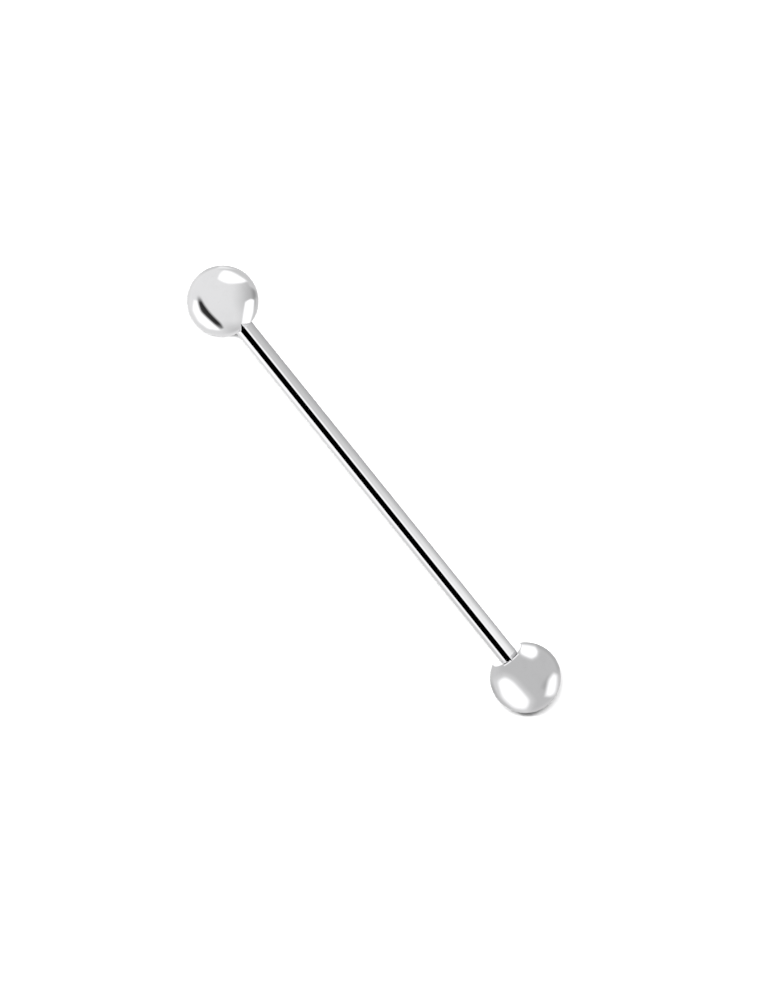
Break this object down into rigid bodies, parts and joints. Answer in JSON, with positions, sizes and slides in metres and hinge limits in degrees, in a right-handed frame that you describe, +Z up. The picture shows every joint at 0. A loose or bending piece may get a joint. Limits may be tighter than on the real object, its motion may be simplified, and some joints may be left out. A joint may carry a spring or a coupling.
{
  "type": "piercing barbell",
  "caption": "Straight piercing barbell in polished steel: a plain round bar with a flat-faced ball that screws onto each end.",
  "frame": {"origin": "on the surface the barbell lies on, under the middle of the bar", "axes": "+X along the bar towards the right-hand ball, +Z up from the surface, +Y across the bar"},
  "size_m": [0.0488, 0.006, 0.006],
  "materials": {
    "bar_steel": "mirror polished surgical steel, with faint polishing lines along the bar",
    "ball_steel": "mirror polished surgical steel, with a finely turned flat round the hole"
  },
  "bodies": {
    "bar": {"bar": "bar_steel"},
    "ball_left": {"ball_left": "ball_steel"},
    "ball_right": {"ball_right": "ball_steel"}
  },
  "joints": [
    {"name": "ball_left_off", "type": "slide", "parent": "bar", "child": "ball_left", "axis": [-1, 0, 0], "range_m": [0, 0.006]},
    {"name": "ball_right_off", "type": "slide", "parent": "bar", "child": "ball_right", "axis": [1, 0, 0], "range_m": [0, 0.006]}
  ]
}
